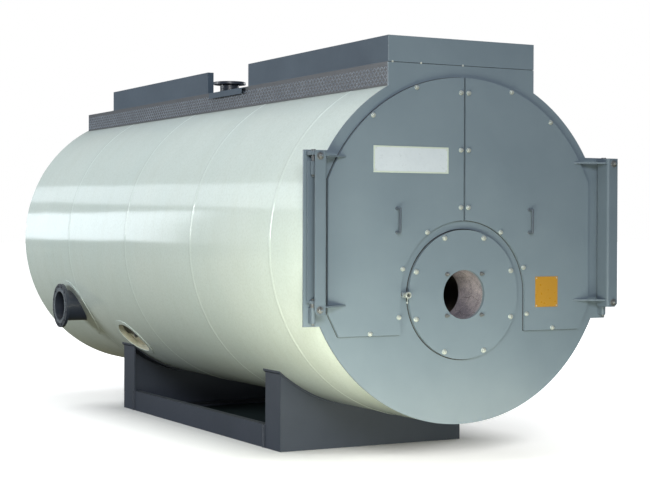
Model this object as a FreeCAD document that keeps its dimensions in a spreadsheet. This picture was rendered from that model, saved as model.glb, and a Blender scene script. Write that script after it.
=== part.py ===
import FreeCAD, Part

import os
import re

from FreeCAD import Rotation, Vector

# A fire-tube hot-water boiler on saddles, with two hinged smokebox doors at the front.
# Millimetres. +Y runs to the rear, +Z up, and the front faces -Y. The origin is on the floor, below
# the barrel's axis, at the middle of the front saddle's foot plate. The sizes below count lengths
# from the front plate's face, and heights from the barrel's axis, unless they are on the base.

SIZES = {
    # how far a cutting tool runs past what it cuts
    "past": 1,
    "far_past": 50,
    # barrel
    "barrel_clearance": 295,
    "jacket_radius": 1200,
    "jacket_sheet": 1.5,
    "jacket_length": 5797,
    "bead_rise": 1.2,
    "bead_width": 26,
    "bead_gap": 0.5,
    "seam_1": 515,
    "seam_2": 1840,
    "seam_3": 3165,
    "seam_4": 4550,
    "insulation_depth": 102,
    "stave_gap": 1,
    "jacket_trim": 5,
    "nozzle_trim": 2,
    "shell_wall": 12,
    "rear_inset": 5,
    "rear_plate": 12,
    "seat_gap": 0.3,
    # front plate
    "wing_beyond_pin": 46,
    "front_plate_thick": 12,
    "wing_top": 615,
    "wing_bottom": -515,
    "opening_step": 24.5,
    "mullion_half": 45,
    "ring_radius": 550,
    # burner and furnace
    "burner_drop": 328,
    "burner_radius": 435,
    "burner_thick": 25,
    "burner_bore": 165,
    "throat_radius": 355,
    "throat_length": 295,
    "throat_gap": 5,
    "stud_offset": 138.5,
    "stud_radius": 6,
    "stud_length": 32,
    "furnace_radius": 450,
    "furnace_wall": 14,
    "furnace_length": 4900,
    "tube_plate_depth": 400,
    "tube_plate_thick": 20,
    "rear_box_depth": 380,
    # sight tube
    "sight_x": 466,
    "sight_z": -322,
    "sight_radius": 18,
    "sight_bore": 13,
    "sight_length": 75,
    # doors
    "door_gap": 6,
    "door_thick": 19,
    "door_bottom": -585,
    "door_lap": 65,
    "door_foot_lap": 55,
    "door_to_pin": 120,
    "door_split_half": 7,
    "door_ring_radius": 497.5,
    "corner_width": 80,
    "corner_rise": 155,
    "lining_depth": 86,
    "lining_inset": 20,
    "lining_ring_gap": 25,
    "grip_x": 530,
    "grip_low": 91,
    "grip_high": 244,
    "grip_reach": 45,
    "grip_radius": 8,
    "plate_sheet": 2,
    "left_plate_inner": 130,
    "left_plate_outer": 708,
    "left_plate_low": 480,
    "left_plate_high": 655,
    "right_plate_inner": 585,
    "right_plate_outer": 775,
    "right_plate_low": -425,
    "right_plate_high": -215,
    # hinges
    "pin_inset": 40,
    "channel_width": 85,
    "channel_to_pin": 45,
    "back_flange_width": 77,
    "gusset_length": 205,
    "pin_y": -44,
    "pin_radius": 10,
    "pin_play": 0.05,
    "pin_head_radius": 16,
    "pin_head_height": 10,
    "pin_tail": 12,
    "knuckle_radius": 17,
    "arm_half": 12,
    "top_lug_radius": 28,
    "foot_lug_radius": 24,
    "lug_clear": 8,
    "channel_front": -148,
    "channel_back": -22,
    "channel_sheet": 8,
    "channel_bend": 16,
    "channel_corner": 20,
    "channel_top": 607,
    "channel_bottom": -430,
    "hinge_screw_radius": 6,
    "hinge_screw_proud": 29.3,
    "hinge_screw_out": 5,
    "hinge_screw_high": 570,
    "hinge_screw_low": -400,
    "back_flange_top": 545,
    "back_flange_bottom": -360,
    "gusset_thick": 10,
    "gusset_nose": 12,
    "gusset_high": 570,
    "gusset_low": -388,
    "top_lug_low": 580,
    "top_lug_high": 606,
    "top_knuckle_low": 455,
    "top_knuckle_high": 540,
    "foot_lug_low": -365,
    "foot_lug_high": -345,
    "foot_knuckle_low": -490,
    "foot_knuckle_high": -390,
    # base
    "base_half": 767,
    "base_plate": 12,
    "front_saddle_y": 1185,
    "rear_saddle_y": 4284,
    "saddle_length": 245,
    "rail_height": 170,
    "rail_flange": 60,
    "pad_thick": 11,
    "pad_lip": 13,
    # deck
    "deck_rise": 6,
    "deck_sink": 1.5,
    "deck_half": 582,
    "deck_length": 5735,
    "deck_plate": 5,
    "skirt_plate": 4,
    "parapet_height": 176,
    "parapet_flange": 50,
    "parapet_sheet": 4,
    "gap_front": 2120,
    "gap_rear": 2880,
    "parapet_end": 5050,
    "step_front": 2190,
    "step_rear": 2810,
    "step_reach": 24,
    "step_drop": 46,
    # top nozzle
    "top_nozzle_rise": 195,
    "top_nozzle_y": 3715,
    "top_pipe_radius": 84,
    "top_bore": 79.5,
    "top_flange_radius": 142.5,
    "top_flange_thick": 22,
    "top_bolt_circle": 120,
    "top_bolt_hole": 11,
    "deck_hole": 95,
    # side nozzle
    "side_nozzle_proud": 0,
    "side_nozzle_y": 4775,
    "side_nozzle_z": -600,
    "side_pipe_radius": 136.5,
    "side_bore": 130,
    "side_flange_radius": 197.5,
    "side_flange_thick": 26,
    "side_bolt_circle": 175,
    "side_bolt_hole": 11.5,
    "collar_half_length": 270,
    "collar_half_height": 244,
    "collar_z": -619,
    "collar_sheet": 2,
    # handhole
    "hatch_y": 3850,
    "hatch_half_length": 210,
    "hatch_half_width": 165,
    "hatch_rim": 40,
    "hatch_sheet": 3,
    "hatch_cover_gap": 8,
    "hatch_cover_thick": 62,
    "hatch_stud": 12,
    "hatch_stud_root": 5,
    "hatch_stud_length": 30,
    # flue collar
    "flue_z": 450,
    "flue_radius": 225,
    "flue_wall": 6,
    "flue_length": 125,
    "flue_flange_radius": 265,
    "flue_flange_thick": 12,
}
HATCH_ANGLE = 45
STAVES = 16

# Sizes that follow from those above
DERIVED = {
    "axis_height": "jacket_radius + barrel_clearance",
    "shell_radius": "jacket_radius - jacket_sheet - insulation_depth",
    "shell_bore": "shell_radius - shell_wall",
    "pin_x": "jacket_radius - pin_inset",
    "wing_reach": "pin_x + wing_beyond_pin",
    "opening_radius": "shell_bore - opening_step",
    "opening_side": "door_side - door_lap",
    "opening_bottom": "door_bottom + door_foot_lap",
    "door_radius": "opening_radius + door_lap",
    "door_side": "pin_x - door_to_pin",
    "channel_inner": "pin_x - channel_to_pin",
    "channel_outer": "channel_inner + channel_width",
    "back_flange_outer": "channel_inner + back_flange_width",
    "gusset_tip": "channel_inner - gusset_length",
    "deck_line": "jacket_radius + deck_rise",
    "skirt_foot": "sqrt(jacket_radius ^ 2 - (deck_half - skirt_plate) ^ 2) + seat_gap",
    "parapet_top": "deck_line + parapet_height",
    "top_nozzle_face": "jacket_radius + top_nozzle_rise",
    "side_nozzle_face": "jacket_radius + side_nozzle_proud",
    "rear_face": "jacket_length - rear_inset",
    "rear_back": "rear_face - rear_plate",
    "door_back": "-door_gap",
    "door_face": "-door_gap - door_thick",
    "pad_outer": "jacket_radius + seat_gap + pad_thick",
}

doc = FreeCAD.newDocument("boiler")
sheet = doc.addObject("Spreadsheet::Sheet", "Sizes")
for row, (alias, value) in enumerate(SIZES.items(), 1):
    sheet.set(f"A{row}", alias)
    sheet.set(f"B{row}", str(value))
    sheet.setAlias(f"B{row}", alias)
doc.recompute()

nodes = []


def rule(text):
    """Name the sheet before each alias, and write derived sizes out in full."""
    def word(match):
        name = match[0]
        if name in DERIVED:
            return f"({rule(DERIVED[name])})"
        return f"Sizes.{name}" if name in SIZES else name
    return re.sub(r"[a-z][a-z_0-9]*", word, str(text))


def bind(item, **rules):
    for prop, text in rules.items():
        item.setExpression(prop.replace("__", "."), rule(text))
    return item


def place(item, x, y, z):
    """Place a thing whose y counts from the front plate's face."""
    from_origin = f"({y}) - (front_saddle_y + 0.5 * saddle_length)"
    return bind(item, Placement__Base__x=x, Placement__Base__y=from_origin, Placement__Base__z=z)


def box(x0, x1, y0, y1, z0, z1):
    item = doc.addObject("Part::Box", "Block")
    bind(item, Length=f"({x1}) - ({x0})", Width=f"({y1}) - ({y0})", Height=f"({z1}) - ({z0})")
    return place(item, x0, y0, z0)


def cylinder(radius, start, end, across, up, axis="Y"):
    """A round bar along one axis, from start to end, at the other two coordinates."""
    item = doc.addObject("Part::Cylinder", "Round")
    bind(item, Radius=radius, Height=f"({end}) - ({start})")
    if axis == "Y":
        item.Placement.Rotation = Rotation(Vector(1, 0, 0), -90)
        return place(item, across, start, up)
    if axis == "X":
        item.Placement.Rotation = Rotation(Vector(0, 1, 0), 90)
        return place(item, start, across, up)
    return place(item, across, up, start)


def cut(base, *tools):
    for tool in tools:
        item = doc.addObject("Part::Cut", "Cut")
        item.Base = base
        item.Tool = tool
        base = item
    return base


def fuse(*parts):
    item = doc.addObject("Part::MultiFuse", "Fused")
    item.Shapes = list(parts)
    return item


def common(*parts):
    item = doc.addObject("Part::MultiCommon", "Common")
    item.Shapes = list(parts)
    return item


def tube(outer, inner, start, end, across="0", up="axis_height", axis="Y"):
    bore = cylinder(inner, f"{start} - past", f"{end} + past", across, up, axis)
    return cut(cylinder(outer, start, end, across, up, axis), bore)


def wedge(x_near, x_far, low, high):
    """A block between two X ranges, at low and at high along its own Y axis."""
    item = doc.addObject("Part::Wedge", "Wedge")
    bind(item, Xmin=x_near[0], Xmax=x_near[1], X2min=x_far[0], X2max=x_far[1], Ymin=low, Ymax=high)
    return item


def add(name, item):
    item.Label = name
    nodes.append(item)
    return item


def flank(sign, inner, outer):
    """The two X limits of a thing between two distances from the centre, on one side."""
    return (inner, outer) if sign > 0 else (f"-({outer})", f"-({inner})")


def over_axis(level):
    return f"axis_height + ({level})"


BURNER_Z = over_axis("-burner_drop")
SIDES = (("left", -1), ("right", 1))
SEAMS = ("seam_1", "seam_2", "seam_3", "seam_4")


# ---- the barrel ----

def hatch_prism(half_length, half_width, start, end):
    """An oval bar square to the barrel's surface, between two distances from its axis."""
    angle = f"{HATCH_ANGLE} deg"
    oval = doc.addObject("Part::Ellipse", "Oval")
    bind(oval, MajorRadius=half_length, MinorRadius=half_width)
    out = Rotation(Vector(0, 1, 0), -HATCH_ANGLE).multVec(Vector(-1, 0, 0))
    oval.Placement.Rotation = Rotation(Vector(0, 1, 0), Vector(), out, "ZXY")
    place(oval, f"-({start}) * cos({angle})", "hatch_y", f"axis_height - ({start}) * sin({angle})")
    bar = doc.addObject("Part::Extrusion", "OvalBar")
    bar.Base = oval
    bar.DirMode = "Custom"
    bar.Dir = out
    bar.Solid = True
    return bind(bar, LengthFwd=f"({end}) - ({start})")


def collar_prism(half_length, half_height):
    """An oval bar along X that passes through the jacket's left side."""
    oval = doc.addObject("Part::Ellipse", "Oval")
    bind(oval, MajorRadius=half_length, MinorRadius=half_height)
    oval.Placement.Rotation = Rotation(Vector(0, 1, 0), Vector(), Vector(-1, 0, 0), "ZXY")
    place(oval, 0, "side_nozzle_y", over_axis("collar_z"))
    bar = doc.addObject("Part::Extrusion", "OvalBar")
    bar.Base = oval
    bar.DirMode = "Custom"
    bar.Dir = Vector(-1, 0, 0)
    bar.Solid = True
    return bind(bar, LengthFwd="jacket_radius + far_past")


def side_nozzle_hole(clear):
    radius = f"side_pipe_radius + {clear}"
    return cylinder(radius, "-jacket_radius - far_past", 0, "side_nozzle_y",
                    over_axis("side_nozzle_z"), "X")


def top_nozzle_hole(clear):
    radius = f"top_pipe_radius + {clear}"
    return cylinder(radius, "axis_height", over_axis("top_nozzle_face"), 0, "top_nozzle_y", "Z")


def bead_ring(seam, clear):
    return tube(f"jacket_radius + bead_rise + {clear}", "jacket_radius - jacket_sheet",
                f"{seam} - bead_width - {clear}", f"{seam} + {clear}")


def jacket_courses():
    starts = ("front_plate_thick",) + SEAMS
    ends = SEAMS + ("jacket_length",)
    for number, (start, end) in enumerate(zip(starts, ends), 1):
        skin = cylinder("jacket_radius", start, end, "0", "axis_height")
        if number < len(ends):
            bead = cylinder("jacket_radius + bead_rise", f"{end} - bead_width", end, "0",
                            "axis_height")
            skin = fuse(skin, bead)
        inside = cylinder("jacket_radius - jacket_sheet", f"{start} - past", f"{end} + past", "0",
                          "axis_height")
        course = cut(skin, inside)
        if number == 4:
            course = cut(course, hatch_oval("jacket_trim"), top_nozzle_hole("nozzle_trim"))
        if number == 5:
            course = cut(course, side_nozzle_hole("nozzle_trim"))
        add(f"jacket_course_{number}", course)


def insulation():
    """Staves of mineral wool all round, a hair apart, with ways for the nozzles and handhole."""
    ring = tube("jacket_radius - jacket_sheet", "shell_radius", "front_plate_thick", "rear_back")
    joints = []
    for number in range(STAVES):
        joint = box(0, "stave_gap", "front_plate_thick - past", "rear_back + past", 0, "jacket_radius")
        joint.Placement.Rotation = Rotation(Vector(0, 1, 0), (number + 0.5) * 360 / STAVES)
        joints.append(place(joint, 0, "front_plate_thick - past", "axis_height"))
    add("insulation", cut(ring, side_nozzle_hole(0), top_nozzle_hole(0),
                          hatch_oval("hatch_sheet"), fuse(*joints)))


def boiler_shell():
    shell = tube("shell_radius", "shell_bore", "front_plate_thick", "rear_back")
    side_bore = cylinder("side_bore", "-jacket_radius", 0, "side_nozzle_y",
                         over_axis("side_nozzle_z"), "X")
    top_bore = cylinder("top_bore", "axis_height", over_axis("jacket_radius"), 0, "top_nozzle_y", "Z")
    add("boiler_shell", cut(shell, side_bore, top_bore))


def tube_plates():
    front = cylinder("shell_bore", "tube_plate_depth",
                     "tube_plate_depth + tube_plate_thick", "0", "axis_height")
    furnace = cylinder("furnace_radius", 0, "furnace_length", "0", BURNER_Z)
    add("front_tube_plate", cut(front, furnace))
    rear = cylinder("shell_bore", "rear_back - rear_box_depth - tube_plate_thick",
                    "rear_back - rear_box_depth", "0", "axis_height")
    add("rear_tube_plate", rear)


def rear_end():
    plate = cylinder("jacket_radius - jacket_sheet - seat_gap", "rear_back", "rear_face", "0",
                     "axis_height")
    hole = cylinder("flue_radius - flue_wall", "rear_back - past", "rear_face + past",
                    "0", over_axis("flue_z"))
    add("rear_cover", cut(plate, hole))
    end = "rear_face + flue_length"
    neck = cylinder("flue_radius", "rear_face", end, "0", over_axis("flue_z"))
    rim = cylinder("flue_flange_radius", f"{end} - flue_flange_thick", end, "0", over_axis("flue_z"))
    bore = cylinder("flue_radius - flue_wall", "rear_face - past", f"{end} + past", "0",
                    over_axis("flue_z"))
    add("flue_collar", cut(fuse(neck, rim), bore))


# ---- the front ----

def door_shape(radius, side, bottom, inner, ring, back, face):
    """The outline that the opening, leaf and lining share: a disc, less the burner's ring."""
    def shape(sign):
        x0, x1 = flank(sign, inner, side)
        disc = cylinder(radius, face, back, "0", "axis_height")
        field = box(x0, x1, face, back, over_axis(bottom), over_axis(radius))
        ring_disc = cylinder(ring, f"{face} - past", f"{back} + past", "0", BURNER_Z)
        foot = box(f"-({ring})", ring, f"{face} - past", f"{back} + past",
                   over_axis(f"{bottom} - past"), BURNER_Z)
        return cut(common(disc, field), ring_disc, foot)
    return shape


def front_plate():
    disc = cylinder("jacket_radius", 0, "front_plate_thick", "0", "axis_height")
    tab = box("-deck_half", "deck_half", 0, "front_plate_thick", "axis_height", over_axis("deck_line"))
    wings = box("-wing_reach", "wing_reach", 0, "front_plate_thick",
                over_axis("wing_bottom"), over_axis("wing_top"))
    plate = fuse(disc, tab, wings)
    opening = door_shape("opening_radius", "opening_side", "opening_bottom", "mullion_half",
                         "ring_radius", "front_plate_thick + past", "-past")
    burner = cylinder("throat_radius + throat_gap", "-past", "front_plate_thick + past", "0", BURNER_Z)
    add("front_plate", cut(plate, opening(-1), opening(1), burner))


def burner_front():
    add("burner_plate", tube("burner_radius", "burner_bore", "-burner_thick", "0", "0", BURNER_Z))
    add("burner_throat", tube("throat_radius", "burner_bore", "0", "throat_length", "0", BURNER_Z))


def burner_studs():
    studs = [cylinder("stud_radius", "-burner_thick - stud_length", "-burner_thick", f"{x} * stud_offset",
                      over_axis(f"{z} * stud_offset - burner_drop")) for x in (-1, 1) for z in (-1, 1)]
    add("burner_studs", fuse(*studs))


def furnace_tube():
    outside = cylinder("furnace_radius", "front_plate_thick", "furnace_length", "0", BURNER_Z)
    inside = cylinder("furnace_radius - furnace_wall", "front_plate_thick - past",
                      "furnace_length - furnace_wall", "0", BURNER_Z)
    add("furnace_tube", cut(outside, inside))


def sight_tube():
    add("sight_tube", tube("sight_radius", "sight_bore", "-sight_length", "0", "-sight_x",
                           over_axis("sight_z")))


def door_leaf(side, sign):
    leaf = door_shape("door_radius", "door_side", "door_bottom", "door_split_half",
                      "door_ring_radius", "door_back", "door_face")(sign)
    near = flank(sign, "door_side - corner_width", "door_side + past")
    far = flank(sign, "door_side", "door_side + past")
    corner = wedge(near, far, 0, "corner_rise")
    bind(corner, Zmin=0, Z2min=0, Zmax="door_thick + 2 * past", Z2max="door_thick + 2 * past")
    corner.Placement.Rotation = Rotation(Vector(1, 0, 0), 90)
    place(corner, 0, "door_back + past", over_axis("door_bottom"))
    add(f"{side}_door_leaf", cut(leaf, corner))


def door_lining(side, sign):
    lining = door_shape("opening_radius - lining_inset", "opening_side - lining_inset",
                        "opening_bottom + lining_inset", "mullion_half + lining_ring_gap",
                        "ring_radius + lining_ring_gap", "door_back + lining_depth", "door_back")
    add(f"{side}_door_lining", lining(sign))


def door_handle(side, sign):
    x = f"{sign} * grip_x"
    out = "door_face - grip_reach"
    parts = [cylinder("grip_radius", over_axis("grip_low"), over_axis("grip_high"), x, out, "Z")]
    for end in ("grip_low", "grip_high"):
        parts.append(cylinder("grip_radius", out, "door_face", x, over_axis(end)))
        ball = doc.addObject("Part::Sphere", "Bend")
        bind(ball, Radius="grip_radius")
        parts.append(place(ball, x, out, over_axis(end)))
    add(f"{side}_door_handle", fuse(*parts))


def door_nameplate(side, sign):
    x0, x1 = flank(sign, f"{side}_plate_inner", f"{side}_plate_outer")
    add(f"{side}_nameplate", box(x0, x1, "door_face - plate_sheet", "door_face",
                                 over_axis(f"{side}_plate_low"), over_axis(f"{side}_plate_high")))


# ---- the hinges ----

def slab(sign, inner, outer, front, back, low, high):
    """A block on one side, between two heights over the axis."""
    return box(*flank(sign, inner, outer), front, back, over_axis(low), over_axis(high))


def on_pin(sign, radius, low, high):
    """A round thing on one side's hinge axis."""
    return cylinder(radius, over_axis(low), over_axis(high), f"{sign} * pin_x", "pin_y", "Z")


def hinge_gusset(sign, low):
    near = flank(sign, "channel_inner - gusset_nose", "channel_inner")
    far = flank(sign, "gusset_tip", "channel_inner")
    plate = wedge(near, far, "channel_front + channel_bend", "door_face")
    bind(plate, Zmin=0, Z2min=0, Zmax="gusset_thick", Z2max="gusset_thick")
    return place(plate, 0, 0, over_axis(low))


def bent_bar(sign, inset, bend):
    """A bar with its two inner corners rounded, inset from the channel's outside all round."""
    inner, front, back = f"channel_inner + {inset}", f"channel_front + {inset}", f"channel_back - {inset}"
    ends = ("channel_bottom", "channel_top")
    bars = [slab(sign, f"{inner} + {bend}", "channel_outer", front, back, *ends),
            slab(sign, inner, f"{inner} + {bend}", f"{front} + {bend}", f"{back} - {bend}", *ends)]
    for y in (f"{front} + {bend}", f"{back} - {bend}"):
        bars.append(cylinder(bend, over_axis(ends[0]), over_axis(ends[1]),
                             f"{sign} * ({inner} + {bend})", y, "Z"))
    return fuse(*bars)


def channel_corner(sign):
    """What the slanted lower corner takes off the front flange."""
    near = flank(sign, "channel_outer - channel_corner", "channel_outer + past")
    far = flank(sign, "channel_outer", "channel_outer + past")
    corner = wedge(near, far, 0, "channel_corner")
    bind(corner, Zmin=0, Z2min=0, Zmax="channel_sheet + 2 * past", Z2max="channel_sheet + 2 * past")
    corner.Placement.Rotation = Rotation(Vector(1, 0, 0), 90)
    return place(corner, 0, "channel_front + channel_sheet + past", over_axis("channel_bottom"))


def hinge_screw(sign, height):
    """The end of a screw through the front flange, which stands proud of everything else in front."""
    return cylinder("hinge_screw_radius", "channel_front - hinge_screw_proud", "channel_front + channel_sheet",
                    f"{sign} * (pin_x + hinge_screw_out)", over_axis(height))


def hinge_channel(side, sign):
    folded = cut(bent_bar(sign, "0", "channel_bend"),
                 bent_bar(sign, "channel_sheet", "channel_bend - channel_sheet"))
    behind = ("channel_back - channel_sheet - past", "channel_back + past")
    edge = slab(sign, "back_flange_outer", "channel_outer + past", *behind, "channel_bottom", "channel_top")
    over = slab(sign, "pin_x - top_lug_radius - lug_clear", "channel_outer + past", *behind,
                "back_flange_top", "channel_top + past")
    under = slab(sign, "pin_x - top_lug_radius - lug_clear", "channel_outer + past", *behind,
                 "channel_bottom - past", "back_flange_bottom")
    folded = cut(folded, edge, over, under, channel_corner(sign))
    inside = "channel_inner + channel_sheet"
    barrel = on_pin(sign, "knuckle_radius", "top_knuckle_low", "top_knuckle_high")
    arm = slab(sign, inside, "pin_x", "pin_y - arm_half", "pin_y + arm_half", "top_knuckle_low",
               "top_knuckle_high")
    foot = on_pin(sign, "foot_lug_radius", "foot_lug_low", "foot_lug_high")
    foot_arm = slab(sign, inside, "pin_x", "pin_y - foot_lug_radius", "pin_y + arm_half", "foot_lug_low",
                    "foot_lug_high")
    bore = on_pin(sign, "pin_radius + pin_play", "channel_bottom", "channel_top")
    body = fuse(folded, barrel, arm, foot, foot_arm,
                hinge_screw(sign, "hinge_screw_high"), hinge_screw(sign, "hinge_screw_low"),
                hinge_gusset(sign, "gusset_high"), hinge_gusset(sign, "gusset_low"))
    add(f"{side}_hinge_channel", cut(body, bore))


def hinge_lugs():
    parts = []
    for _, sign in SIDES:
        pin_hole = on_pin(sign, "pin_radius", "foot_knuckle_low - past", "top_lug_high + past")
        nose = on_pin(sign, "top_lug_radius", "top_lug_low", "top_lug_high")
        ear = slab(sign, "pin_x - top_lug_radius", "pin_x + top_lug_radius", "pin_y", 0,
                   "top_lug_low", "top_lug_high")
        parts.append(cut(fuse(nose, ear), pin_hole))
        barrel = on_pin(sign, "knuckle_radius", "foot_knuckle_low", "foot_knuckle_high")
        block = slab(sign, "pin_x - arm_half", "pin_x + arm_half", "pin_y", 0,
                     "foot_knuckle_low", "foot_knuckle_high")
        parts.append(cut(fuse(barrel, block), pin_hole))
    add("hinge_lugs", fuse(*parts))


def hinge_pins():
    parts = []
    for _, sign in SIDES:
        shank = on_pin(sign, "pin_radius", "top_knuckle_low - pin_tail", "top_lug_high")
        head = on_pin(sign, "pin_head_radius", "top_lug_high", "top_lug_high + pin_head_height")
        parts.append(fuse(shank, head))
        shank = on_pin(sign, "pin_radius", "foot_knuckle_low - pin_tail", "foot_lug_high + pin_tail")
        ring = on_pin(sign, "pin_head_radius", "foot_knuckle_high", "foot_lug_low - seat_gap")
        parts.append(fuse(shank, ring))
    add("hinge_pins", fuse(*parts))


# ---- the base ----

def saddle(name, start, end, web_start):
    """A cradle with one web, two side plates, a foot plate and a curved pad."""
    web = box("-base_half", "base_half", web_start, f"{web_start} + base_plate", 0, "axis_height")
    foot = box("-base_half", "base_half", start, end, 0, "base_plate")
    sides = [box(*flank(sign, "base_half - base_plate", "base_half"), start, end, 0, "axis_height")
             for _, sign in SIDES]
    barrel = cylinder("pad_outer", f"{start} - past", f"{end} + past", "0", "axis_height")
    cradle = cut(fuse(web, foot, *sides), barrel)
    pad_ends = (f"{start} - pad_lip", f"{end} + pad_lip")
    ring = tube("pad_outer", "jacket_radius + seat_gap", *pad_ends)
    field = box("-base_half - pad_lip", "base_half + pad_lip", *pad_ends, 0,
                "axis_height")
    add(name, fuse(cradle, common(ring, field)))


def base():
    start = "front_saddle_y + saddle_length"
    end = "rear_saddle_y - saddle_length"
    saddle("front_saddle", "front_saddle_y", start, "front_saddle_y")
    saddle("rear_saddle", end, "rear_saddle_y", "rear_saddle_y - base_plate")
    rails = []
    for _, sign in SIDES:
        web = box(*flank(sign, "base_half - base_plate", "base_half"), start, end, 0, "rail_height")
        low = box(*flank(sign, "base_half - rail_flange", "base_half"), start, end, 0, "base_plate")
        top = box(*flank(sign, "base_half - rail_flange", "base_half"), start, end,
                  "rail_height - base_plate", "rail_height")
        rails.append(fuse(web, low, top))
    add("side_rails", fuse(*rails))


# ---- the deck ----

DECK_LOW = over_axis("deck_line - deck_sink")
DECK_TOP = over_axis("deck_line - deck_sink + deck_plate")


def deck():
    plate = box("-deck_half", "deck_half", "front_plate_thick", "deck_length", DECK_LOW, DECK_TOP)
    hole = cylinder("deck_hole", "axis_height", over_axis("parapet_top"), 0, "top_nozzle_y", "Z")
    add("deck_plate", cut(plate, hole))
    skirts = [box(*flank(sign, "deck_half - skirt_plate", "deck_half"), "front_plate_thick", "deck_length",
                  over_axis("skirt_foot"), DECK_LOW) for _, sign in SIDES]
    add("deck_skirts", cut(fuse(*skirts), *[bead_ring(seam, "bead_gap") for seam in SEAMS]))


def parapet_side(start, end, gap_end):
    """Folded sheet on each side of the deck, with a return that closes it where the gap begins."""
    parts = []
    for _, sign in SIDES:
        sheet_x = flank(sign, "deck_half - parapet_sheet", "deck_half")
        flange_x = flank(sign, "deck_half - parapet_flange", "deck_half")
        top = over_axis("parapet_top")
        parts.append(fuse(box(*sheet_x, start, end, DECK_TOP, top),
                          box(*flange_x, *gap_end, DECK_TOP, top),
                          box(*flange_x, start, end, f"{top} - parapet_sheet", top),
                          box(*flange_x, start, end, DECK_TOP, f"{DECK_TOP} + parapet_sheet")))
    return fuse(*parts)


def parapet():
    top = over_axis("parapet_top")
    inner = "deck_half - parapet_flange - seat_gap"
    sheet_front = box("-deck_half", "deck_half", 0, "parapet_sheet", DECK_TOP, top)
    high = box(f"-({inner})", inner, 0, "parapet_flange", f"{top} - parapet_sheet", top)
    low = box(f"-({inner})", inner, 0, "parapet_flange", DECK_TOP, f"{DECK_TOP} + parapet_sheet")
    add("parapet_front", fuse(sheet_front, high, low))
    add("parapet_front_sides", parapet_side("parapet_sheet", "gap_front",
                                             ("gap_front - parapet_sheet", "gap_front")))
    add("parapet_rear_sides", parapet_side("gap_rear", "parapet_end",
                                            ("gap_rear", "gap_rear + parapet_sheet")))


def deck_step():
    outer = "deck_half + step_reach"
    lip = box(f"-({outer})", f"-({outer} - skirt_plate)", "step_front", "step_rear",
              f"{DECK_LOW} - step_drop", DECK_LOW)
    tread = box(f"-({outer})", "-deck_half", "step_front", "step_rear",
                f"{DECK_LOW} - skirt_plate", DECK_LOW)
    add("deck_step", fuse(lip, tread))


# ---- nozzles and handhole ----

def bolt_circle(radius, hole, count, start, end, across, up, axis):
    """Holes around one axis, the first half a step from the top."""
    holes = []
    for number in range(count):
        angle = f"{(number + 0.5) * 360 / count} deg"
        holes.append(cylinder(hole, start, end, f"{across} + {radius} * sin({angle})",
                              f"{up} + {radius} * cos({angle})", axis))
    return fuse(*holes)


def top_nozzle():
    face = over_axis("top_nozzle_face")
    pipe = cylinder("top_pipe_radius", "axis_height", face, 0, "top_nozzle_y", "Z")
    rim = cylinder("top_flange_radius", f"{face} - top_flange_thick", face, 0, "top_nozzle_y", "Z")
    bore = cylinder("top_bore", "axis_height - past", f"{face} + past", 0, "top_nozzle_y", "Z")
    barrel = cylinder("shell_radius", "top_nozzle_y - top_flange_radius",
                      "top_nozzle_y + top_flange_radius", "0", "axis_height")
    bolts = bolt_circle("top_bolt_circle", "top_bolt_hole", 8, f"{face} - top_flange_thick - past",
                        f"{face} + past", "0", "top_nozzle_y", "Z")
    add("top_nozzle", cut(fuse(pipe, rim), bore, barrel, bolts))


def side_nozzle():
    across, up = "side_nozzle_y", over_axis("side_nozzle_z")
    pipe = tube("side_pipe_radius", "side_bore", "-side_nozzle_face", "0", across, up, "X")
    barrel = cylinder("shell_radius", "side_nozzle_y - side_flange_radius",
                      "side_nozzle_y + side_flange_radius", "0", "axis_height")
    add("side_nozzle_pipe", cut(pipe, barrel))
    inner_face = "-side_nozzle_face + side_flange_thick"
    ring = tube("side_flange_radius", "side_pipe_radius", "-side_nozzle_face", inner_face, across, up, "X")
    bolts = bolt_circle("side_bolt_circle", "side_bolt_hole", 12, "-side_nozzle_face - past",
                        f"{inner_face} + past", across, up, "X")
    add("side_nozzle_flange", cut(ring, bolts))


def nozzle_collar():
    skin = tube("jacket_radius + bead_rise + collar_sheet", "jacket_radius + seat_gap",
                "side_nozzle_y - collar_half_length - past", "side_nozzle_y + collar_half_length + past")
    pad = common(skin, collar_prism("collar_half_length", "collar_half_height"))
    hole = side_nozzle_hole("seat_gap")
    add("side_nozzle_collar", cut(pad, hole, bead_ring("seam_4", "bead_gap")))


def hatch_ring(outer, inner):
    """A round skin about the barrel's axis, as long as the handhole needs."""
    return tube(outer, inner, "hatch_y - hatch_half_length - far_past",
                "hatch_y + hatch_half_length + far_past")


def hatch_oval(spread):
    """The handhole's oval, grown by some width and reaching out past the jacket."""
    return hatch_prism(f"hatch_half_length + ({spread})", f"hatch_half_width + ({spread})",
                       "shell_bore", "jacket_radius + far_past")


def hatch():
    top = "jacket_radius + hatch_sheet + seat_gap"
    wall = common(hatch_ring(top, "shell_radius"), hatch_oval("hatch_sheet"))
    rim = common(hatch_ring(top, "jacket_radius + seat_gap"), hatch_oval("hatch_rim"))
    saddle_way = box("-base_half - pad_lip - bead_gap", 0,
                     "rear_saddle_y - saddle_length - pad_lip - bead_gap", "rear_saddle_y",
                     0, "axis_height")
    way = hatch_prism("hatch_half_length", "hatch_half_width",
                      "shell_bore - past", "jacket_radius + far_past")
    add("hatch_frame", cut(fuse(wall, cut(rim, saddle_way)), way))
    cover_top = "shell_radius + hatch_cover_thick"
    cover = common(hatch_ring(cover_top, "shell_radius"), hatch_oval("-hatch_cover_gap"))
    stud = hatch_prism("hatch_stud", "hatch_stud", "shell_radius + hatch_stud_root",
                       f"{cover_top} + hatch_stud_length")
    add("hatch_cover", fuse(cover, stud))


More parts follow.
